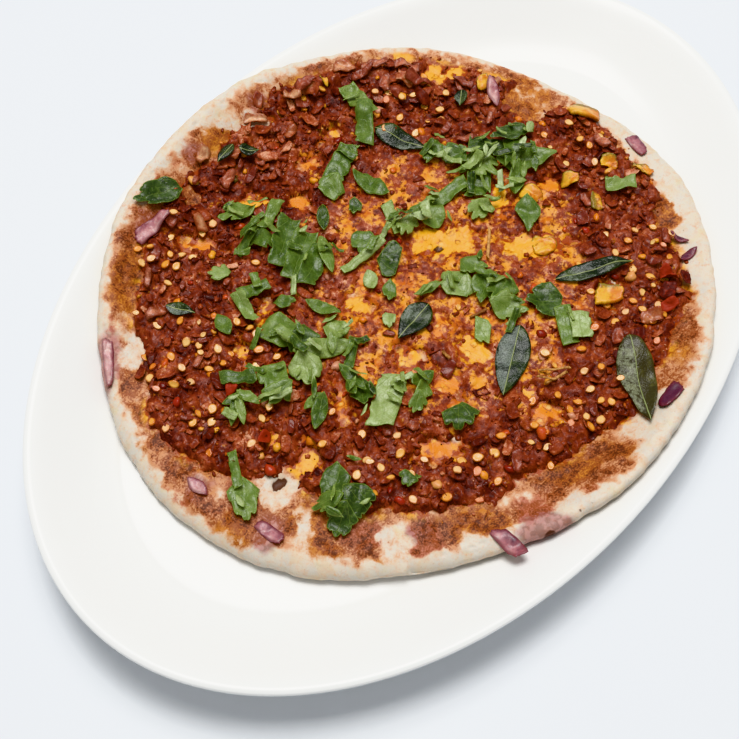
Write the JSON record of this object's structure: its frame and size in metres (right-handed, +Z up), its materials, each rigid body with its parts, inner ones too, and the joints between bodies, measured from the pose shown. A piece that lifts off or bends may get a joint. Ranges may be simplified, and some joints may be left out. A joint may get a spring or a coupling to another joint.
{
  "type": "uttapam on an oval plate",
  "caption": "Thick round savoury pancake spread with red chilli masala, herbs and onion, lying in a shallow white oval serving plate.",
  "frame": {"origin": "centre of the plate at table level", "axes": "+X along the plate's long side, +Y across it, +Z up"},
  "size_m": [0.3, 0.206, 0.0294],
  "materials": {
    "porcelain": "white gloss glaze",
    "batter": "soft griddled batter, pale with browned patches",
    "masala": "oily, craggy dark red chilli paste with pale seeds",
    "onion": "moist, slightly clear pink and purple slices",
    "pepper": "glossy yellow diced flesh",
    "curry_leaf": "dark green fried leaf with a thin gloss",
    "coriander": "fresh matt green leaf"
  },
  "bodies": {
    "root": {"coriander_heap_back": "coriander", "coriander_heap_centre": "coriander", "coriander_heap_front": "coriander", "coriander_heap_left": "coriander", "coriander_heap_near": "coriander", "coriander_heap_right": "coriander", "coriander_leaf_arch": "coriander", "coriander_leaf_bent_far": "coriander", "coriander_leaf_bent_left": "coriander", "coriander_leaf_bent_upper": "coriander", "coriander_leaf_broad": "coriander", "coriander_leaf_chip": "coriander", "coriander_leaf_curl": "coriander", "coriander_leaf_dark": "coriander", "coriander_leaf_dark_round": "coriander", "coriander_leaf_double": "coriander", "coriander_leaf_folded": "coriander", "coriander_leaf_grey": "coriander", "coriander_leaf_low": "coriander", "coriander_leaf_narrow": "coriander", "coriander_leaf_near_left": "coriander", "coriander_leaf_notched": "coriander", "coriander_leaf_olive": "coriander", "coriander_leaf_pair": "coriander", "coriander_leaf_pale": "coriander", "coriander_leaf_right": "coriander", "coriander_leaf_rim": "coriander", "coriander_leaf_round": "coriander", "coriander_leaf_small": "coriander", "coriander_leaf_strip": "coriander", "coriander_leaf_triangle": "coriander", "coriander_leaf_yellow": "coriander", "coriander_sprig_centre": "coriander", "coriander_sprig_left": "coriander", "curry_leaf_back": "curry_leaf", "curry_leaf_broad": "curry_leaf", "curry_leaf_folded": "curry_leaf", "curry_leaf_right": "curry_leaf", "curry_leaf_scrap_back": "curry_leaf", "curry_leaf_scrap_far": "curry_leaf", "curry_leaf_scrap_left": "curry_leaf", "curry_leaf_scrap_top": "curry_leaf", "curry_leaf_slim": "curry_leaf", "masala": "masala", "onion_slice_back": "onion", "onion_slice_far_left": "onion", "onion_slice_far_right": "onion", "onion_slice_front": "onion", "onion_slice_left": "onion", "onion_slice_low_left": "onion", "onion_slice_near": "onion", "onion_slice_near_right": "onion", "onion_slice_right_lower": "onion", "onion_slice_right_upper": "onion", "pepper_piece_far": "pepper", "pepper_piece_right": "pepper", "plate": "porcelain", "uttapam": "batter"}
  },
  "joints": []
}
